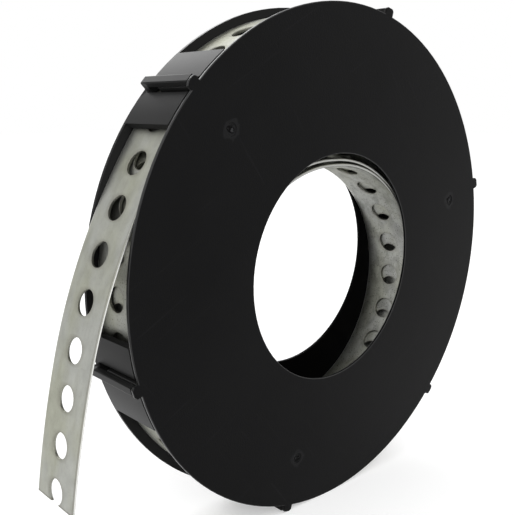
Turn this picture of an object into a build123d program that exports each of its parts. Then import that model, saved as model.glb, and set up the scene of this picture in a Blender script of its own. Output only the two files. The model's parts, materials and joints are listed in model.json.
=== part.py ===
from build123d import *
import math
import os

# Perforated steel strap, coiled in a two-part plastic cassette with its free end pulled out.
# Millimetres. The reel stands on its rim, its axis along Y, its cover towards -Y.

# Strap stock
strap_width = 17.0
strap_thickness = 0.8
hole_diameter = 6.5
hole_pitch = 11.7

# Wound coil
coil_play = 0.3  # between the outermost turn and the cage walls
side_play = 0.35  # between a strap edge and the flange beside it
core_radius = 37.9  # inside of the innermost turn
core_droop = 8.6  # the loose inner turns sag this far below the reel axis
core_shift = -0.75  # and lie this far towards +X
core_stretch = 2.9  # and are this much longer than round, sideways
core_hole = -0.75  # round the innermost turn from its +X side to one of its holes
first_gap = 0.95  # over the innermost turn, at its widest
first_gap_angle = 125.0  # degrees round the axis from +X to its widest place
first_gap_span = 126.0  # degrees that it reaches over
second_gap = 2.2  # the same over the next turn
second_gap_angle = 95.0
second_gap_span = 220.0
slack_gap_count = 2  # crescents that stand for the air between the hidden turns
slack_shut_span = 60.0  # degrees at the bottom where such a crescent is shut
peel_gap = 0.1  # between the outermost turn and the next one, where it leaves the coil

# Free end
leave_angle = 144.5  # degrees round the axis from +X, where the strap leaves the coil
tail_bends = ((169.0, 27.5), (155.0, 32.0), (300.0, 50.0))  # radius and run of each bend
first_hole = 9.6  # from the leaving point to the first free hole
under_hole_shift = 2.75  # the turn under the tail isn't quite round: its holes lie further along
whole_hole_count = 7
cut_past_centre = 2.85  # the strap is cut across the next hole

# Cassette
flange_radius = 72.5
flange_thickness = 0.9
bore_radius = 33.0
wall_thickness = 2.0
wall_span = 19.0  # degrees of rim that each wall covers
wall_turns = (0, 0, 0, 0, -0.2, 1.2)  # degrees that each wall lies past the middle of its bar
wall_gap = 0.4  # between a wall and the cover

# Snap bars, one over each wall
clip_count = 6
bar_width = 2.5
bar_depth = 1.45
bar_rise = 2.0  # above the rim
bar_rounding = 0.35
slot_width = 4.8
slot_root = 1.05  # wall left between the slot and the back flange
tongue_width = 2.5
tongue_play = 0.3  # between a tongue and the bar over it
tongue_reach = 13.0
head_near = 0.65  # from the middle of a bar to the near side of its head, at the top
head_far = 2.15  # and to its far side, past the bar
head_drop = 0.6  # slope of its top on both sides
seam = 0.25

# Moulding marks on the cover
gate_count = 3
gate_radius = 57.6
gate_diameter = 3.3
gate_depth = 0.25

reel_width = strap_width + 2 * side_play + 2 * flange_thickness
cover_back = reel_width - flange_thickness
wall_inside = flange_radius - wall_thickness
wall_front = cover_back - wall_gap
coil_radius = wall_inside - coil_play
bar_top = flange_radius + bar_rise
bar_under = bar_top - bar_depth
clip_pitch = 360 / clip_count
strap_back = flange_thickness + side_play

# The turns sag about these middles, and the third one lies clear of the second over the top
core_middle = Vector(core_shift, -core_droop)
first_lift = first_gap / (1 - math.cos(math.radians(first_gap_span / 2)))
second_lift = second_gap / (1 - math.cos(math.radians(second_gap_span / 2)))

# The reel leans on one bar: its rim and the corner of that bar both touch the floor
bar_corner = math.hypot(bar_top, bar_width / 2)
lean = math.degrees(math.acos(flange_radius / bar_corner) + math.atan2(bar_width / 2, bar_top))
first_clip = -90 - lean


def polar(radius, angle):
    """Point in the plane of the reel, x to the right and y up."""
    turn = math.radians(angle)
    return Vector(radius * math.cos(turn), radius * math.sin(turn))


def sector(inner, outer, span):
    """Face between two radii, centred on +x, covering span degrees."""
    outside = CenterArc((0, 0), outer, -span / 2, span)
    inside = CenterArc((0, 0), inner, -span / 2, span)
    ends = [Line(inside @ k, outside @ k) for k in (0, 1)]
    return make_face([outside, inside, *ends])


def block(x_low, x_high, y_low, y_high, z_low, z_high):
    """Box between its limits."""
    size = Box(x_high - x_low, y_high - y_low, z_high - z_low, align=(Align.MIN,) * 3)
    return Pos(x_low, y_low, z_low) * size


def around(template, angles):
    """Copies of a template turned about the reel axis."""
    return [Rot(0, 0, angle) * template for angle in angles]


clip_angles = [first_clip + k * clip_pitch for k in range(clip_count)]
wall_angles = [angle + turn for angle, turn in zip(clip_angles, wall_turns)]
first_lifted = core_middle + polar(first_lift, first_gap_angle)
third_middle = core_middle + polar(second_lift, second_gap_angle)
third_radius = core_radius + 2 * strap_thickness + second_gap - second_lift


def bar_section():
    """Section of a snap bar, its outer corners rounded."""
    face = Pos((bar_under + bar_top) / 2, 0) * Rectangle(bar_depth, bar_width)
    corners = face.vertices().sort_by(Axis.X)[-2:]
    return fillet(corners, bar_rounding)


def snap_bar():
    """Bar that springs from the back flange and reaches forward over the slot to the seam."""
    bar = extrude(bar_section(), cover_back - seam)
    root = block(wall_inside, bar_under, -bar_width / 2, bar_width / 2, 0, flange_thickness + slot_root)
    return bar + root


def clip_slot():
    """Space through the wall, under the bar and to both sides of it."""
    half = slot_width / 2
    return block(coil_radius, bar_under, -half, half, flange_thickness + slot_root, reel_width)


def reel_base():
    """Back flange with six wall segments, each carrying a snap bar."""
    flange = extrude(Circle(flange_radius) - Circle(bore_radius), flange_thickness)
    wall = extrude(sector(wall_inside, flange_radius, wall_span), wall_front)
    solid = flange + around(wall, wall_angles) - around(clip_slot(), clip_angles)
    return solid + around(snap_bar(), clip_angles)


def clip_head():
    """Head in the plane of the cover that closes the end of a bar, with the tongue under the bar."""
    half = bar_width / 2
    outline = Polyline(
        (wall_inside, -half), (bar_top - head_drop, -half), (bar_top, -head_near), (bar_top, half),
        (bar_top - head_drop, head_far), (wall_inside, head_far), close=True,
    )
    head = Pos(0, 0, cover_back) * extrude(make_face(outline), flange_thickness)
    tongue_top = bar_under - tongue_play
    half = tongue_width / 2
    tongue = block(wall_inside, tongue_top, -half, half, cover_back - tongue_reach, reel_width)
    return head + tongue


def gate_mark():
    """Shallow round dish, left where the plastic entered the mould."""
    dish = Cylinder(gate_diameter / 2, gate_depth, align=(Align.CENTER, Align.CENTER, Align.MAX))
    return Pos(gate_radius, 0, reel_width) * dish


def front_cover():
    """Flat front flange with its six clip heads."""
    disc = Pos(0, 0, cover_back) * extrude(Circle(flange_radius) - Circle(bore_radius), flange_thickness)
    gates = [clip_angles[0] + k * 360 / gate_count for k in range(gate_count)]
    return disc + around(clip_head(), clip_angles) - around(gate_mark(), gates)


def outer_turn():
    """Outside of the outermost turn, wound from under the leaving point round to it."""
    shrink = (strap_thickness + peel_gap) / 2
    far_side = leave_angle - 180
    inner_half = CenterArc(polar(shrink, far_side), coil_radius - shrink, leave_angle - 360, 180)
    outer_half = CenterArc((0, 0), coil_radius, far_side, 180)
    return [inner_half, outer_half]


def tail_arcs(depth):
    """Free end of the strap as tangent arcs, depth below its outside, to the cut."""
    start = polar(coil_radius - depth, leave_angle)
    direction = polar(1, leave_angle + 90)
    arcs = []
    left = first_hole + whole_hole_count * hole_pitch + cut_past_centre
    for radius, run in tail_bends:
        run = min(run, left)
        left -= run
        arc = JernArc(start, direction, radius - depth, math.degrees(run / radius))
        arcs.append(arc)
        start, direction = arc @ 1, arc % 1
    return arcs


def strap_outline():
    """Side view of the coil and its free end."""
    turn = outer_turn()
    outside = tail_arcs(0)
    inside = tail_arcs(strap_thickness)
    cut = Line(outside[-1] @ 1, inside[-1] @ 1)
    peel = Line(turn[0] @ 0, inside[0] @ 0)
    return make_face([*turn, *outside, cut, *inside, peel])


def loose_turn(radius, middle):
    """Outline of a loose inner turn about a middle beside the reel axis."""
    return Pos(middle) * SlotCenterToCenter(core_stretch, 2 * radius)


def loose_gaps():
    """Crescents of air over the two innermost turns."""
    radius = core_radius + strap_thickness
    lifted_radius = radius + first_gap - first_lift
    first = loose_turn(lifted_radius, first_lifted) - loose_turn(radius, core_middle)
    second = loose_turn(third_radius, third_middle) - loose_turn(radius + strap_thickness, core_middle)
    return [first, second - loose_turn(lifted_radius + strap_thickness, first_lifted)]


def slack_gaps():
    """Crescents of air between the hidden turns, which sag less and less towards the outermost one."""
    step = third_middle * (1 / slack_gap_count)
    swell = step.length * math.cos(math.radians(slack_shut_span / 2))
    layer = (coil_radius - third_radius - slack_gap_count * swell) / (slack_gap_count + 1)
    gaps = []
    for number in range(slack_gap_count):
        middle = third_middle - step * number
        radius = third_radius + layer + number * (layer + swell)
        gaps.append(Pos(middle - step) * Circle(radius + swell) - Pos(middle) * Circle(radius))
    return gaps


def punch(place, inward, depth):
    """Round punch that starts outside the surface at place and goes depth into it."""
    start = Vector(place.X, place.Y, strap_back + strap_width / 2) - inward * strap_thickness
    length = strap_thickness + depth
    tool = Cylinder(hole_diameter / 2, length, align=(Align.CENTER, Align.CENTER, Align.MIN))
    return Plane(start, z_dir=inward) * tool


def behind_wall(place):
    """Whether a place on the outermost turn is hidden by a wall."""
    angle = math.degrees(math.atan2(place.Y, place.X))
    return any(abs((angle - wall + 180) % 360 - 180) < wall_span / 2 for wall in wall_angles)


def outer_punches():
    """Punches from the cut end back round the outermost turn, where the cassette leaves it open."""
    turn = Wire(outer_turn())
    line = Wire(outer_turn() + tail_arcs(0))
    punches = []
    counted = line.length - cut_past_centre
    while counted > hole_diameter:
        under = counted < turn.length / 2
        free = counted > turn.length
        station = counted + under_hole_shift if under else counted
        place = line.position_at(station, position_mode=PositionMode.LENGTH)
        along = line.tangent_at(station, position_mode=PositionMode.LENGTH)
        inward = Vector(-along.Y, along.X)
        if free or not behind_wall(place):
            punches.append(punch(place, inward, strap_thickness * (2 if free else 1)))
        counted -= hole_pitch
    return punches


def innermost_turn():
    """Middle line of the innermost turn, from its +X side round to it."""
    radius = core_radius + strap_thickness / 2
    right = Vector(core_shift + core_stretch / 2, -core_droop)
    left = Vector(core_shift - core_stretch / 2, -core_droop)
    rising = CenterArc(right, radius, 0, 90)
    far = CenterArc(left, radius, 90, 180)
    closing = CenterArc(right, radius, 270, 90)
    return Wire([rising, Line(rising @ 1, far @ 0), far, Line(far @ 1, closing @ 0), closing])


def inner_punches():
    """Punches for the holes of the innermost turn, counted both ways from the +X side."""
    line = innermost_turn()
    count = int(line.length / hole_pitch)
    punches = []
    for number in range(-(count // 2), count - count // 2):
        station = (core_hole + number * hole_pitch) % line.length
        place = line.position_at(station, position_mode=PositionMode.LENGTH)
        along = line.tangent_at(station, position_mode=PositionMode.LENGTH)
        outward = Vector(along.Y, -along.X)
        punches.append(punch(place - outward * (strap_thickness / 2), outward, strap_thickness))
    return punches


def strap():
    """Coil and free end in one piece, with the holes of every turn that shows."""
    section = strap_outline() - loose_turn(core_radius, core_middle)
    for gap in loose_gaps() + slack_gaps():
        section -= gap
    solid = Pos(0, 0, strap_back) * extrude(section, strap_width)
    for tool in outer_punches() + inner_punches():
        solid -= tool
    return solid


pieces = {"reel_base": reel_base(), "front_cover": front_cover(), "strap": strap()}

# Reel plane to part frame: the axis lies along Y, the back flange towards +Y
upright = Plane(origin=(0, reel_width / 2, flange_radius), x_dir=(1, 0, 0), z_dir=(0, -1, 0))
placed = {name: upright * solid for name, solid in pieces.items()}
box = Compound(list(placed.values())).bounding_box()
middle = Pos(-box.center().X, -box.center().Y, -box.min.Z)

os.makedirs("parts", exist_ok=True)
for name, solid in placed.items():
    export_step(middle * solid, f"parts/{name}.step")
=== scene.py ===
import bmesh
import bpy
import json
import math
from bisect import bisect_right
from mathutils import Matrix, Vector, noise


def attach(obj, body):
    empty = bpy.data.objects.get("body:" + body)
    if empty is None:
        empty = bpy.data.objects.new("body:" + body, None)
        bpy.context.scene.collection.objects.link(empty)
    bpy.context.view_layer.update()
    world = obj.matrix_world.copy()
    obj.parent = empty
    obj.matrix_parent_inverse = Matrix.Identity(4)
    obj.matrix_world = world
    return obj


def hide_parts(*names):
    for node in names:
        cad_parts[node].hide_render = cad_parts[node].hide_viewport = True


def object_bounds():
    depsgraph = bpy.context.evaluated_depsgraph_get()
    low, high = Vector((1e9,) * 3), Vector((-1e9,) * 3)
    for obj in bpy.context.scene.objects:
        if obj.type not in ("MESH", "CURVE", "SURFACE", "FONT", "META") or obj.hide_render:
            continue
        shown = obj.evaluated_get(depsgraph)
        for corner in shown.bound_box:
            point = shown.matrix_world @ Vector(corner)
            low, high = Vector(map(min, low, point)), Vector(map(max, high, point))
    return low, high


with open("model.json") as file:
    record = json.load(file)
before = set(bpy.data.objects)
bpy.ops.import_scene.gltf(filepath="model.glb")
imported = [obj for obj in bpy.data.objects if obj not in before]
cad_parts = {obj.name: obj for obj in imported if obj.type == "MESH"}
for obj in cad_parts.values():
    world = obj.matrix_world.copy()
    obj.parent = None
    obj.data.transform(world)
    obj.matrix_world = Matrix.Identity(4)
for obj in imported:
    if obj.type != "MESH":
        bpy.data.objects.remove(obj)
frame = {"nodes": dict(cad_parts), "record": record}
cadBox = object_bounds()
mm = 0.001  # sizes below are in millimetres where no note says otherwise
mergeWithin = 0.002 * mm
print("frame loaded")

# the reel's axis runs along Y through the middle of its bore
borePlace = frame["record"]["mounts"][0]["pos_m"]
reelCentre = Vector((borePlace[0], 0, borePlace[2]))


def direction(angle):
    return Vector((math.cos(angle), math.sin(angle)))


# Camera

cameraView = {
    "place": (-160.4, -144.9, 45.25),  # from the middle of the reel
    "pan": 40.0,  # degrees to the right of straight ahead
    "tilt": 15.1,  # degrees down
    "lens": 50.75,
    "sensor": 36.0,
    "shift": (0.0857, 0.0899),  # shares of the picture's width
    "nearest": 0.01,  # m
}


def addCamera():
    data = bpy.data.cameras.new("reelCamera")
    data.lens = cameraView["lens"]
    data.sensor_width = cameraView["sensor"]
    data.shift_x, data.shift_y = cameraView["shift"]
    data.clip_start = cameraView["nearest"]
    camera = bpy.data.objects.new("reelCamera", data)
    bpy.context.scene.collection.objects.link(camera)
    camera.location = reelCentre + Vector(cameraView["place"]) * mm
    camera.rotation_euler = (math.radians(90 - cameraView["tilt"]), 0, math.radians(-cameraView["pan"]))
    bpy.context.scene.camera = camera


addCamera()
print("camera set")


# Nodes that every material uses

def newMaterial(name):
    material = bpy.data.materials.new(name)
    material.use_nodes = True
    return material, material.node_tree, material.node_tree.nodes["Principled BSDF"]


def feed(tree, socket, value):
    # a value, or another node's output, into a socket
    if isinstance(value, bpy.types.NodeSocket):
        tree.links.new(value, socket)
    else:
        socket.default_value = value


def addNode(tree, kind, **settings):
    # settings that name a socket feed it; the rest are the node's own
    made = tree.nodes.new(kind)
    for key, value in settings.items():
        socket = key.replace("_", " ")
        if socket in made.inputs:
            feed(tree, made.inputs[socket], value)
        else:
            setattr(made, key, value)
    return made


def stretched(tree, place, scale):
    return addNode(tree, "ShaderNodeMapping", Vector=place, Scale=scale).outputs["Vector"]


def turned(tree, place, angle):
    return addNode(tree, "ShaderNodeMapping", Vector=place, Rotation=(0, angle, 0)).outputs["Vector"]


def addNoise(tree, place, scale, detail=3.0, roughness=0.55):
    # the scale is one number, or one for each direction
    if isinstance(scale, tuple):
        place, scale = stretched(tree, place, scale), 1.0
    made = addNode(tree, "ShaderNodeTexNoise", Vector=place, Scale=scale, Detail=detail, Roughness=roughness)
    return made.outputs["Fac"]


def addRange(tree, value, start, end, high=1.0, low=0.0):
    # low where the value is at start, high where it is at end, and even between them
    made = addNode(
        tree, "ShaderNodeMapRange", Value=value, From_Min=start, From_Max=end, To_Min=low, To_Max=high,
    )
    return made.outputs["Result"]


def between(tree, share, low, high):
    return addRange(tree, share, 0.0, 1.0, high, low)


def addRamp(tree, value, stops):
    # stops are (position, colour or grey), from the lowest position up
    made = addNode(tree, "ShaderNodeValToRGB", Fac=value)
    elements = made.color_ramp.elements
    while len(elements) < len(stops):
        elements.new(0.5)
    for element, (position, colour) in zip(elements, stops):
        element.position = position
        element.color = (*colour, 1) if isinstance(colour, tuple) else (colour, colour, colour, 1)
    return made.outputs["Color"]


def mixed(tree, factor, first, second, how="MIX"):
    # two colours, each a value or a node's output
    made = addNode(tree, "ShaderNodeMix", data_type="RGBA", blend_type=how)
    feed(tree, made.inputs[0], factor)
    for socket, colour in ((made.inputs[6], first), (made.inputs[7], second)):
        feed(tree, socket, (*colour, 1) if isinstance(colour, tuple) else colour)
    return made.outputs[2]


def addBump(tree, height, strength, tall, **settings):
    # tall is in millimetres
    made = addNode(tree, "ShaderNodeBump", Height=height, Strength=strength, Distance=tall * mm, **settings)
    return made.outputs["Normal"]


def joined(tree, how, first, second):
    # two numbers, each a value or a node's output
    made = addNode(tree, "ShaderNodeMath", operation=how)
    feed(tree, made.inputs[0], first)
    feed(tree, made.inputs[1], second)
    return made.outputs[0]


# Zinc coated steel

zincLook = {
    "cool": (0.395, 0.40, 0.372),
    "warm": (0.365, 0.37, 0.31),
    # a stained colour, which also paints shade round the hole rims and along one slit edge
    "stainAndShade": (0.20, 0.195, 0.165),
    "dirt": (0.06, 0.055, 0.045),
    "slit": (0.80, 0.80, 0.77),  # freshly cut edges, painted brighter, partly as a highlight
    # painted shade: the cut edges of the inner turns are darker
    "slitInnerShade": (0.40, 0.40, 0.39),
    "inner": (0.93, 0.93, 0.95),  # the inner turns are a little darker
    "outer": (1500.0, 6000.0),  # and give way to the outer ones over this stretch of the strap
    "grazing": (0.70, 0.70, 0.68),
    "rough": (0.38, 0.56),
    "bump": 0.07,
    "blotchHeight": 0.6,
    "grainHeight": 0.1,
    # noises: how fine along, across and into the strap, per mm, then detail and roughness
    "clouds": ((0.05, 0.09, 0.3), 3.0, 0.55),
    "blotches": ((0.22, 0.34, 0.5), 4.0, 0.6),
    "rolled": ((0.06, 4.5, 1.0), 3.0, 0.6),
    "grain": (3.0, 5.0, 0.65),
    "pits": ((2.2, 2.6, 1.0), 2.0, 0.55),
    # ramps over them: position and level
    "warmer": ((0.40, 0.0), (0.62, 1.0)),
    "blotchedInner": ((0.38, 0.76), (0.50, 0.97), (0.62, 1.10)),
    "blotchedOuter": ((0.36, 0.90), (0.50, 0.98), (0.66, 1.06)),
    "lined": ((0.3, 0.975), (0.7, 1.02)),
    "pitted": ((0.62, 0.0), (0.68, 0.95)),
    # painted shade round the rounded hole rims
    "holeRimShade": ((0.55, 0.0), (1.0, 0.45)),
    # the last stretch is cleaner: its length, the fade into it, and the share of pits left
    "clean": (150.0, 60.0, 0.15),
    # across the strap or into it: where it starts, where it is full, and how strong it is
    # painted shade: a dark band along one slit edge, inside its rounding
    "rolledEdgeShade": (8.05, 8.25, 0.45),
    "slitEdge": (8.40, 8.49),
    "torn": (0.26, 0.40),
    # painted highlight along the burred edge
    "burrHighlight": (-8.12, -8.28),
    # darker where it was shorn off: the same, back from the end
    "shorn": (0.55, 0.2, 0.75),
}


def zincTone(tree, along, rim, cutEnd, noises):
    # olive clouds, small blotches, fine lines along the strap, pits and bright cut edges, with painted shade
    # round the hole rims and along one slit edge, and painted highlights on the cut edges
    look = zincLook
    distance, across, deep = addNode(tree, "ShaderNodeSeparateXYZ", Vector=along).outputs
    outer = addRange(tree, distance, *look["outer"])
    tone = mixed(tree, addRamp(tree, noises["clouds"], look["warmer"]), look["cool"], look["warm"])
    inside = addRamp(tree, noises["blotches"], look["blotchedInner"])
    outside = addRamp(tree, noises["blotches"], look["blotchedOuter"])
    tone = mixed(tree, 1.0, tone, mixed(tree, outer, inside, outside), "MULTIPLY")
    tone = mixed(tree, 1.0, tone, addRamp(tree, noises["rolled"], look["lined"]), "MULTIPLY")
    cleanLength, cleanFade, pitsLeft = look["clean"]
    cleanFrom = cutEnd - cleanLength
    handled = addRange(tree, distance, cleanFrom, cleanFrom - cleanFade, low=pitsLeft)
    pitted = joined(tree, "MULTIPLY", addRamp(tree, noises["pits"], look["pitted"]), handled)
    tone = mixed(tree, pitted, tone, look["dirt"])
    # painted shade round the hole rims
    tone = mixed(tree, addRamp(tree, rim, look["holeRimShade"]), tone, look["stainAndShade"])
    # painted shade along one slit edge, whose inner half is torn bright and painted brighter as a highlight,
    # with a painted highlight on the burred other edge
    tone = mixed(tree, addRange(tree, across, *look["rolledEdgeShade"]), tone, look["stainAndShade"])
    tone = mixed(tree, 1.0, tone, mixed(tree, outer, look["inner"], (1, 1, 1)), "MULTIPLY")
    slit = addRange(tree, across, *look["slitEdge"], addRange(tree, deep, *look["torn"]))
    tone = mixed(tree, slit, tone, mixed(tree, outer, look["slitInnerShade"], look["slit"]))
    tone = mixed(tree, addRange(tree, across, *look["burrHighlight"]), tone, look["slit"])
    start, full, strength = look["shorn"]
    return mixed(tree, addRange(tree, distance, cutEnd - start, cutEnd - full, strength), tone, look["stainAndShade"])


def zincSteel(cutEnd):
    # dull rolled zinc; the mesh says where on the strap it is: mm along, across and deep, and how near a hole
    look = zincLook
    material, tree, shader = newMaterial("galvanisedSteel")
    along = addNode(tree, "ShaderNodeAttribute", attribute_name="along").outputs["Vector"]
    rim = addNode(tree, "ShaderNodeAttribute", attribute_name="rim").outputs["Fac"]
    kinds = ("clouds", "blotches", "rolled", "grain", "pits")
    noises = {kind: addNoise(tree, along, *look[kind]) for kind in kinds}
    tree.links.new(zincTone(tree, along, rim, cutEnd, noises), shader.inputs["Base Color"])
    shader.inputs["Metallic"].default_value = 1.0
    shader.inputs["Specular Tint"].default_value = (*look["grazing"], 1)
    tree.links.new(between(tree, noises["grain"], *look["rough"]), shader.inputs["Roughness"])
    coarse = addBump(tree, noises["blotches"], look["bump"], look["blotchHeight"])
    fine = addBump(tree, noises["grain"], look["bump"], look["grainHeight"], Normal=coarse)
    tree.links.new(fine, shader.inputs["Normal"])
    return material


# Black plastic

plasticLook = {
    "dark": (0.0045, 0.0045, 0.0047),
    "light": (0.0085, 0.0085, 0.0088),
    "clouds": 28.0,  # how fine, per metre, as the other scales are
    "grain": 2600.0,
    "grainHeight": 0.05,
    "grainStrength": 0.05,
    "faceGrain": 0.04,  # its height on the flat faces, as a share of that of the broken stubs
    # painted light and shade on the inner faces: near black as painted shade, and painted lighter where the
    # back flange shows between the strap and its rim
    "hidden": (0.002, 0.002, 0.002),
    "paintedLightBesideStrap": (0.021, 0.021, 0.021),
    "lightFrom": (67.0, 70.5),
    # scratches on the flat faces
    "scratch": (0.0094, 0.0094, 0.0098),
    "scratchAngles": (0.5, -0.9),
    "scratchScale": (35.0, 35.0, 1500.0),
    "scratchRamp": ((0.72, 0.0), (0.76, 1.0)),
    # finishes: specular, least and most roughness
    "shadedInnerPlastic": (0.01, 0.34, 0.46),
    "facePlastic": (0.035, 0.34, 0.46),
    "rimPlastic": (0.088, 0.24, 0.36),
    "coverRimPlastic": (0.35, 0.24, 0.36),
}
gateMarks = {
    # round marks on the cover: a pale ragged patch with a broken stub in the middle, its pit painted black as
    # shade and the standing bits of the stub painted lighter as highlights
    "count": 3,
    "offAxis": 57.6,
    "angle": -104.3,  # degrees round the axis from +X
    "patch": 2.7,
    "pit": 1.2,
    "fade": 0.2,
    "ragged": 1.2,
    "raggedScale": 500.0,
    "pale": (0.013, 0.013, 0.0135),
    # painted shade in the pit, and painted highlights where the stub stands up
    "black": (0.002, 0.002, 0.002),
    "stub": (0.04, 0.04, 0.042),
    "stubFrom": 0.46,  # between these levels of the noise
    "stubTo": 0.60,
    "stubScale": 1100.0,
    "stubHeight": 1.2,
}


def addGateMarks(tree, place, tone):
    # the face's colour with the marks in it, the pit painted as shade and the stub as highlights, and how far
    # each place stands up in a broken stub
    marks = gateMarks
    clearance = None
    for number in range(marks["count"]):
        spot = direction(math.radians(marks["angle"] + 360 / marks["count"] * number)) * marks["offAxis"] * mm
        centre = (reelCentre.x + spot.x, cadBox[0][1], reelCentre.z + spot.y)
        away = addNode(tree, "ShaderNodeVectorMath", operation="DISTANCE")
        feed(tree, away.inputs[0], place)
        feed(tree, away.inputs[1], centre)
        away = away.outputs["Value"]
        clearance = away if clearance is None else joined(tree, "MINIMUM", clearance, away)
    ragged = marks["ragged"] * mm
    ragged = between(tree, addNoise(tree, place, marks["raggedScale"], 2.0), -ragged, ragged)
    clearance = joined(tree, "ADD", clearance, ragged)
    patch, pit = (
        addRange(tree, clearance, radius * mm, (radius - marks["fade"]) * mm)
        for radius in (marks["patch"], marks["pit"])
    )
    chips = addNoise(tree, place, marks["stubScale"], 1.0)
    # black in the pit as painted shade, lighter where the stub stands up as painted highlight
    broken = addRamp(tree, chips, ((marks["stubFrom"], marks["black"]), (marks["stubTo"], marks["stub"])))
    tone = mixed(tree, patch, tone, marks["pale"])
    return mixed(tree, pit, tone, broken), between(tree, chips, 0.0, pit)


def addScratches(tree, place, tone):
    look = plasticLook
    ways = [turned(tree, place, angle) for angle in look["scratchAngles"]]
    lines = [addNoise(tree, way, look["scratchScale"], 1.0) for way in ways]
    scratched = addRamp(tree, joined(tree, "MAXIMUM", *lines), look["scratchRamp"])
    return mixed(tree, scratched, tone, look["scratch"])


def shadedTone(tree, place):
    # painted shade: the dull inner faces are near black, apart from those beside the strap, which get painted
    # light
    look = plasticLook
    level = addNode(
        tree, "ShaderNodeMapping", Vector=place, Location=(-reelCentre.x, 0, -reelCentre.z), Scale=(1, 0, 1),
    )
    away = addNode(tree, "ShaderNodeVectorMath", operation="LENGTH")
    feed(tree, away.inputs[0], level.outputs["Vector"])
    start, full = look["lightFrom"]
    beside = addRange(tree, away.outputs["Value"], start * mm, full * mm)
    return mixed(tree, beside, look["hidden"], look["paintedLightBesideStrap"])


def blackPlastic(name):
    # moulded plastic, almost black: glossy round the rim, satin on the flat faces, dull inside, where the
    # colour is painted shade with painted light out beside the strap
    look = plasticLook
    material, tree, shader = newMaterial(name)
    specular, smooth, rough = look[name]
    place = addNode(tree, "ShaderNodeTexCoord").outputs["Object"]
    clouds = addNoise(tree, place, look["clouds"])
    height = addNoise(tree, place, look["grain"])
    strength, tall = look["grainStrength"], look["grainHeight"]
    if name == "shadedInnerPlastic":
        tone = shadedTone(tree, place)
    else:
        tone = mixed(tree, clouds, look["dark"], look["light"])
    if name == "facePlastic":
        tone, stub = addGateMarks(tree, place, addScratches(tree, place, tone))
        strength, tall = 1.0, gateMarks["stubHeight"]
        height = joined(tree, "ADD", stub, joined(tree, "MULTIPLY", height, look["faceGrain"]))
    tree.links.new(tone, shader.inputs["Base Color"])
    shader.inputs["Specular IOR Level"].default_value = specular
    tree.links.new(between(tree, clouds, smooth, rough), shader.inputs["Roughness"])
    tree.links.new(addBump(tree, height, strength, tall), shader.inputs["Normal"])
    return material


shadedInnerPlastic, facePlastic, rimPlastic, coverRimPlastic = (
    blackPlastic(name) for name in ("shadedInnerPlastic", "facePlastic", "rimPlastic", "coverRimPlastic")
)
print("plastic made")


# Strap: one perforated ribbon, from the innermost turn out to the cut end of the tail

strapStock = {
    "width": 17.0,
    "thickness": 0.8,
    "hole": 6.5,
    "pitch": 11.7,
    "cutPastHole": 2.85,  # the tail is cut across its last hole
    "edge": 0.18,  # rounding of the slit edges
    "rim": 0.11,  # rounding of the hole rims
}
strapLie = {
    # the wound turns lie a little off the tail sideways
    "wander": 0.06,
    "wave": 260.0,  # mm of strap from one swing to the next
    "noiseRow": 3.1,
    "deeper": 0.27,  # nearer the back flange
    "straight": 140.0,  # the tail's end, which stays in the middle
    "settle": 460.0,  # over which the strap comes to lie so
}
outerTurn = {
    "outside": 70.2,
    "step": 0.9,  # the second turn lies this far inside the first
    "leaveAngle": 144.5,  # degrees round the axis from +X, where the tail begins
    "holeShifts": (2.75, 4.35),  # wound turns aren't quite round: their holes lie this much further along
    "landTurn": 0.5,  # share of a turn back from the tail, where a wall hides a longer land for each
    "tailBends": ((169.0, 27.5), (155.0, 32.0), (300.0, 34.85)),  # radius and run
    "perforated": 2,  # turns with holes
}
looseTurns = {
    # the innermost turns are loose: an oval that sags below the axis, with a gap over each
    "count": 2,
    "inside": 37.9,
    "sag": 8.6,
    "shift": -0.75,
    "stretch": 2.9,
    "gaps": ((0.95, 125.0, 126.0), (2.2, 95.0, 220.0)),  # widest, where, and degrees it reaches over
    "endAngle": 262.0,  # where the inner end is, and each loose turn climbs onto the next
    "climb": 0.083,  # share of a turn
    "firstHole": -0.75,  # from the +X side of the innermost turn
    "holeSlip": 0.74,  # a longer land out of sight in each turn sets the holes of the next
    "slipTurn": 0.9,  # share of each turn where it lies
    "perforated": 3,  # turns with holes
    "perforatedRadius": 39.9,  # about the middle of those turns
}
tightLayers = 26  # whole turns inside the outermost one
stepsPerTurn = 360
acrossSteps = 7
alongSteps = 5
plainStep = 4.0  # where there are no holes
strapSharp = 50  # degrees; gentler edges are smoothed

woundTurns = tightLayers + ((outerTurn["leaveAngle"] - looseTurns["endAngle"]) % 360) / 360


def loosePlace(number, angle):
    # outside of a loose turn, at an angle round the middle of the oval
    heading = direction(angle)
    side = looseTurns["shift"] + math.copysign(looseTurns["stretch"] / 2, heading.x)
    radius = looseTurns["inside"] + strapStock["thickness"] * (number + 1)
    if number > 0:
        widest, where, span = looseTurns["gaps"][number - 1]
        lift = widest / (1 - math.cos(math.radians(span / 2)))
        radius += max(widest - lift + lift * math.cos(angle - math.radians(where)), 0)
    return Vector((side, -looseTurns["sag"])) + heading * radius


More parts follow.
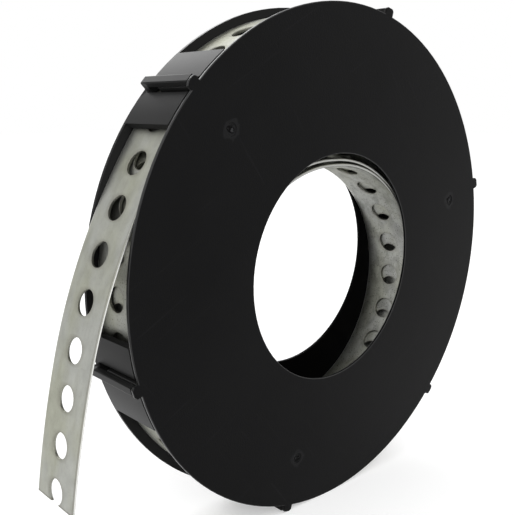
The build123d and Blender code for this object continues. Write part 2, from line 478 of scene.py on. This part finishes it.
def turnPlace(turnsIn):
    # outside of the strap, turnsIn turns before it leaves the coil
    outside, step = outerTurn["outside"], outerTurn["step"]
    leave = math.radians(outerTurn["leaveAngle"])
    angle = leave - 2 * math.pi * turnsIn
    heading = direction(angle)
    if turnsIn <= 0.5:
        return heading * outside
    if turnsIn <= 1:
        return direction(leave - math.pi) * step / 2 + heading * (outside - step / 2)
    layer = woundTurns + 1 - turnsIn
    whole = int(layer)
    loose = looseTurns["count"]
    if whole <= loose:
        # each loose turn climbs onto the next in one smooth step
        rise = max((layer - whole - 1) / looseTurns["climb"] + 1, 0)
        layer = whole + rise * rise * (3 - 2 * rise)
    if layer < loose:
        return loosePlace(int(layer), angle).lerp(loosePlace(int(layer) + 1, angle), layer % 1)
    share = (layer - loose) / (woundTurns - loose)
    return loosePlace(loose, angle).lerp(heading * (outside - step), share)


def strapLine():
    # places on the outside of the strap, and the distance along it to each
    last = round((woundTurns + 1) * stepsPerTurn)
    places = [turnPlace(k / stepsPerTurn) for k in range(last, -1, -1)]
    place, heading = places[-1], math.radians(outerTurn["leaveAngle"] + 90)
    for radius, run in outerTurn["tailBends"]:
        centre = place + direction(heading + math.pi / 2) * radius
        steps = math.ceil(run)
        for k in range(1, steps + 1):
            facing = heading + run / radius * k / steps
            places.append(centre + direction(facing - math.pi / 2) * radius)
        heading += run / radius
        place = places[-1]
    lengths = [0.0]
    for before, after in zip(places, places[1:]):
        lengths.append(lengths[-1] + (after - before).length)
    return places, lengths


linePlaces, lineLengths = strapLine()
lineEnd = lineLengths[-1]
leavesAt = lineEnd - sum(run for _, run in outerTurn["tailBends"])
print("strap length, mm:", round(lineEnd))


def lineAt(distance):
    # place and unit direction at a distance along the strap
    last = len(linePlaces) - 1
    k = min(max(bisect_right(lineLengths, distance) - 1, 0), last - 1)
    share = (distance - lineLengths[k]) / (lineLengths[k + 1] - lineLengths[k])
    before, after = linePlaces[max(k - 1, 0)], linePlaces[min(k + 2, last)]
    first = (linePlaces[k + 1] - before).normalized()
    second = (after - linePlaces[k]).normalized()
    return linePlaces[k].lerp(linePlaces[k + 1], share), first.lerp(second, share).normalized()


def sideways(distance):
    settled = min(max((lineEnd - distance - strapLie["straight"]) / strapLie["settle"], 0), 1)
    swing = noise.noise(Vector((distance / strapLie["wave"], strapLie["noiseRow"], 0)))
    return settled * (strapLie["wander"] * swing - strapLie["deeper"])


def strapPoint(distance, across, deep):
    # millimetres on the strap to metres in the frame
    place, heading = lineAt(distance)
    inward = Vector((-heading.y, heading.x))
    spot = place + inward * deep
    return reelCentre + Vector((spot.x, -(across + sideways(distance)), spot.y)) * mm


class Ribbon:
    # collects the faces of the strap
    def __init__(self):
        self.mesh = bmesh.new()
        self.along = self.mesh.verts.layers.float_vector.new("along")
        self.rim = self.mesh.verts.layers.float.new("rim")
        self.half = strapStock["width"] / 2
        self.thick = strapStock["thickness"]
        self.edge = strapStock["edge"]
        self.flat = self.half - self.edge
        self.reach = strapStock["pitch"] / 2

    def point(self, distance, across, deep, rim=0):
        vert = self.mesh.verts.new(strapPoint(distance, across, deep))
        vert[self.along] = (distance, across, deep)
        vert[self.rim] = rim
        return vert

    def face(self, corners):
        kept = [c for k, c in enumerate(corners) if c is not corners[k - 1]]
        if len(kept) > 2:
            self.mesh.faces.new(kept)

    def section(self, distance, steps):
        # points round the strap, with its top and underside in so many steps
        half, thick, edge = self.half, self.thick, self.edge
        top = [-self.flat + 2 * self.flat * k / steps for k in range(steps + 1)]
        loop = [(across, 0) for across in top] + [(half, edge), (half, thick - edge)]
        loop += [(across, thick) for across in reversed(top)] + [(-half, thick - edge), (-half, edge)]
        return [self.point(distance, across, deep) for across, deep in loop]

    def endFace(self, distance):
        self.face(self.section(distance, acrossSteps))

    def cellBorder(self, cut):
        # (along, across) round a cell, from its front; a cut cell stays open there
        flat, back = self.flat, -self.reach
        front = self.reach if cut is None else cut
        corners = [(front, -flat), (front, flat), (back, flat), (back, -flat)]
        border = []
        for k, steps in enumerate((acrossSteps, alongSteps, acrossSteps, alongSteps)):
            (u, v), (nextU, nextV) = corners[k], corners[(k + 1) % 4]
            border += [(u + (nextU - u) * j / steps, v + (nextV - v) * j / steps) for j in range(steps)]
        return border if cut is None else border[acrossSteps:] + border[:1]

    def holeSpot(self, radius, cut, share):
        # a place on a circle round the hole, a share of the way round from the cell's front
        start = -math.atan2(self.flat, self.reach) if cut is None else math.acos(cut / radius)
        sweep = 2 * math.pi if cut is None else 2 * (math.pi - start)
        return direction(start + sweep * share) * radius

    def cellProfile(self, middle, wall, lip, outer):
        # from the wall of the hole over the top, round the slit edge where there is one, and back underneath
        spots = [(wall, strapStock["rim"], 1), (lip, 0, 1), ((lip + outer) / 2, 0, 0), (outer, 0, 0)]
        under = [(spot, self.thick - deep, near) for spot, deep, near in reversed(spots)]
        sides = [None, None]
        if math.isclose(abs(outer.y), self.flat, rel_tol=1e-6):
            slit = Vector((outer.x, math.copysign(self.half, outer.y)))
            sides = [(slit, self.edge, 0), (slit, self.thick - self.edge, 0)]
        profile = []
        for spot in spots + sides + under:
            profile.append(spot and self.point(middle + spot[0].x, spot[0].y, spot[1], spot[2]))
        return profile

    def holeCell(self, middle, cut=None):
        # one pitch of strap around a hole; a cut cell ends past the middle of its hole
        hole = strapStock["hole"] / 2
        border = self.cellBorder(cut)
        count = len(border) - (cut is not None)
        profiles = []
        for k, place in enumerate(border):
            wall, lip = (self.holeSpot(radius, cut, k / count) for radius in (hole, hole + strapStock["rim"]))
            profiles.append(self.cellProfile(middle, wall, lip, Vector(place)))
        pairs = list(zip(profiles, profiles[1:]))
        if cut is None:
            pairs.append((profiles[-1], profiles[0]))
        else:
            self.face(profiles[0])
            self.face(profiles[-1])
        for one, two in pairs:
            for k in range(len(one)):
                corners = [one[k - 1], two[k - 1], two[k], one[k]]
                if all(corners):
                    self.face(corners)

    def plainRun(self, start, end):
        # a stretch without holes
        count = math.ceil((end - start) / plainStep)
        rows = [self.section(start + (end - start) * k / count, 1) for k in range(count + 1)]
        for one, two in zip(rows, rows[1:]):
            for k in range(len(one)):
                self.face([one[k - 1], two[k - 1], two[k], one[k]])
        self.face(rows[0])
        self.face(rows[-1])


def addOuterTurns(ribbon):
    # the tail and the outer turns, counted back from the cut end to where their holes begin
    pitch, turn = strapStock["pitch"], 2 * math.pi * outerTurn["outside"]
    station = lineEnd - strapStock["cutPastHole"]
    ribbon.holeCell(station, cut=strapStock["cutPastHole"])
    lands = [
        (leavesAt - turn * (number + outerTurn["landTurn"]), pitch - shift)
        for number, shift in enumerate(outerTurn["holeShifts"])
    ]
    while station - pitch > leavesAt - turn * outerTurn["perforated"]:
        station -= pitch
        # a longer land behind a wall sets the holes of the turns below it
        if lands and station < lands[0][0]:
            land = lands.pop(0)[1]
            ribbon.plainRun(station + pitch / 2 - land, station + pitch / 2)
            station -= land
        ribbon.holeCell(station)
    ribbon.endFace(station - pitch / 2)
    return station - pitch / 2


def addInnerTurns(ribbon):
    # the innermost turns, counted from the hole on their +X side to where their holes end
    pitch, slip = strapStock["pitch"], looseTurns["holeSlip"]
    rightSide = lineLengths[round(-looseTurns["endAngle"] % 360 / 360 * stepsPerTurn)]
    station = (rightSide + looseTurns["firstHole"] - pitch / 2) % pitch + pitch / 2
    ribbon.endFace(station - pitch / 2)
    turns = range(looseTurns["perforated"])
    slips = [lineLengths[round((turn + looseTurns["slipTurn"]) * stepsPerTurn)] for turn in turns]
    while station < 2 * math.pi * looseTurns["perforatedRadius"] * looseTurns["perforated"]:
        if slips and station > slips[0]:
            slips.pop(0)
            ribbon.plainRun(station - pitch / 2, station - pitch / 2 + slip)
            station += slip
        ribbon.holeCell(station)
        station += pitch
    ribbon.endFace(station - pitch / 2)
    return station - pitch / 2


def finishMesh(mesh, name, materials, sharp):
    # merges, turns the faces outward, smooths up to sharp degrees and keeps flat faces flat
    bmesh.ops.remove_doubles(mesh, verts=mesh.verts, dist=mergeWithin)
    bmesh.ops.recalc_face_normals(mesh, faces=mesh.faces)
    data = bpy.data.meshes.new(name)
    mesh.to_mesh(data)
    mesh.free()
    for material in materials:
        data.materials.append(material)
    data.shade_smooth()
    data.set_sharp_from_angle(angle=math.radians(sharp))
    piece = bpy.data.objects.new(name, data)
    bpy.context.scene.collection.objects.link(piece)
    weighted = piece.modifiers.new("flatFaces", "WEIGHTED_NORMAL")
    weighted.keep_sharp = True
    weighted.weight = 100
    return piece


def makeStrap():
    ribbon = Ribbon()
    outerStart = addOuterTurns(ribbon)
    ribbon.plainRun(addInnerTurns(ribbon), outerStart)
    piece = finishMesh(ribbon.mesh, "perforatedStrap", [zincSteel(lineEnd)], strapSharp)
    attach(piece, "root")
    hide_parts("strap")


makeStrap()
print("strap wound")


# Cassette: the moulded base and cover, with their small edge radii

cassetteLook = {
    "edges": {"reel_base": 0.18, "front_cover": 0.2},  # their radii
    "edgeSteps": 2,
    "roundedFrom": 35,  # degrees; gentler edges stay as they are
    "sharp": 40,
    # where the finishes change: off the axis, and along it from the middle
    "rim": 72.1,
    "bars": 72.6,
    "bore": 33.3,
    "barRoot": 7.8,
    "face": 9.3,
    # how far a face has to turn towards a side to belong to it, and to lie flat
    "turned": 0.25,
    "flat": 0.97,
}


def offAxis(face):
    spot = face.calc_center_median() - reelCentre
    return Vector((spot.x, 0, spot.z))


def splitBars(mesh):
    # the sides of the bars are glossy at their roots, and in front of them dull, with the inner finish's
    # painted light
    look = cassetteLook
    bars = [f for f in mesh.faces if offAxis(f).length > look["bars"] * mm]
    sides = [f for f in bars if abs(f.normal.y) < look["turned"]]
    around = {e for f in sides for e in f.edges} | {v for f in sides for v in f.verts}
    bmesh.ops.bisect_plane(
        mesh, geom=sides + list(around), dist=mergeWithin / 2,
        plane_co=(0, look["barRoot"] * mm, 0), plane_no=(0, 1, 0),
    )
    mesh.normal_update()


def finishOf(face):
    # 0 inside, with painted shade and light, 1 on a flat outer face, 2 round the rim, on the edges of the
    # bore and at the roots of the bars
    look = cassetteLook
    away, depth = offAxis(face), face.calc_center_median().y
    outward, level = face.normal.dot(away.normalized()), abs(face.normal.y)
    if away.length > look["rim"] * mm and outward > look["turned"]:
        return 2
    if away.length < look["bore"] * mm and look["turned"] < level < look["flat"]:
        return 2
    if level > look["turned"] and abs(depth) > look["face"] * mm:
        return 1
    return 2 if away.length > look["bars"] * mm and depth > look["barRoot"] * mm else 0


def isSharp(edge):
    if len(edge.link_faces) != 2 or not edge.is_convex:
        return False
    return edge.calc_face_angle() > math.radians(cassetteLook["roundedFrom"])


def mouldedPiece(node, materials):
    # the node's own faces with every outer edge rounded
    mesh = bmesh.new()
    mesh.from_mesh(frame["nodes"][node].data)
    bmesh.ops.remove_doubles(mesh, verts=mesh.verts, dist=mergeWithin)
    bmesh.ops.bevel(
        mesh, geom=[edge for edge in mesh.edges if isSharp(edge)], affect="EDGES", offset_type="OFFSET",
        offset=cassetteLook["edges"][node] * mm, segments=cassetteLook["edgeSteps"], profile=0.5,
        clamp_overlap=True, loop_slide=True,
    )
    mesh.normal_update()
    splitBars(mesh)
    for face in mesh.faces:
        face.material_index = finishOf(face)
    return finishMesh(mesh, node + "_moulded", materials, cassetteLook["sharp"])


for node, finishes, slot in (
    ("reel_base", [shadedInnerPlastic, facePlastic, rimPlastic], "black_plastic_base"),
    ("front_cover", [shadedInnerPlastic, facePlastic, coverRimPlastic], "black_plastic_cover"),
):
    piece = mouldedPiece(node, finishes)
    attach(piece, "root")
    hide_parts(node)
print("cassette moulded")


# Floor, backdrop and light

studio = {
    "floorColour": (0.72, 0.72, 0.72),
    "floorSize": 6.0,  # m
    "floorGlow": 0.38,  # only as it is seen
    "skyTop": 1.25,
    "skySide": 0.36,
}
softLights = {
    # name: (direction from the reel, distance m, size m, watts)
    "topBack": ((0.22, 0.76, 0.60), 0.9, 0.50, 2.0),
    "leftFront": ((-0.9, -0.35, 0.5), 1.0, 0.7, 1.4),
    "rightFront": ((0.7, -0.6, 0.5), 1.1, 0.6, 1.0),
    "overCamera": ((-0.5, -0.63, 0.54), 1.0, 0.3, 1.6),
}


def seenRays(tree):
    # what the camera, metal and gloss see
    paths = addNode(tree, "ShaderNodeLightPath").outputs
    shiny = joined(tree, "MAXIMUM", paths["Is Glossy Ray"], paths["Is Transmission Ray"])
    return joined(tree, "MAXIMUM", paths["Is Camera Ray"], shiny)


def addWorld():
    # white as it is seen; as a light, a tent that is bright above and dim round the sides
    world = bpy.data.worlds.new("studioWorld")
    bpy.context.scene.world = world
    world.use_nodes = True
    tree = world.node_tree
    background = tree.nodes["Background"]
    background.inputs["Color"].default_value = (1, 1, 1, 1)
    way = addNode(tree, "ShaderNodeTexCoord").outputs["Generated"]
    height = addNode(tree, "ShaderNodeSeparateXYZ", Vector=way).outputs["Z"]
    tent = between(tree, height, studio["skySide"], studio["skyTop"])
    tree.links.new(between(tree, seenRays(tree), tent, 1.0), background.inputs["Strength"])


def addFloor():
    mesh = bmesh.new()
    bmesh.ops.create_grid(mesh, x_segments=1, y_segments=1, size=studio["floorSize"] / 2)
    data = bpy.data.meshes.new("studioFloor")
    mesh.to_mesh(data)
    mesh.free()
    floor = bpy.data.objects.new("studioFloor", data)
    bpy.context.scene.collection.objects.link(floor)
    material, tree, shader = newMaterial("studioFloor")
    shader.inputs["Base Color"].default_value = (*studio["floorColour"], 1)
    shader.inputs["Roughness"].default_value = 1.0
    shader.inputs["Specular IOR Level"].default_value = 0.0
    shader.inputs["Emission Color"].default_value = (1, 1, 1, 1)
    glow = between(tree, seenRays(tree), 0.0, studio["floorGlow"])
    tree.links.new(glow, shader.inputs["Emission Strength"])
    data.materials.append(material)


def addLights():
    for name, (way, distance, size, watts) in softLights.items():
        data = bpy.data.lights.new(name, "AREA")
        data.shape = "SQUARE"
        data.size = size
        data.energy = watts
        lamp = bpy.data.objects.new(name, data)
        bpy.context.scene.collection.objects.link(lamp)
        lamp.location = reelCentre + Vector(way).normalized() * distance
        lamp.rotation_euler = (reelCentre - lamp.location).to_track_quat("-Z", "Y").to_euler()


addWorld()
addFloor()
addLights()
bpy.context.scene.view_settings.view_transform = "Standard"
print("studio lit")
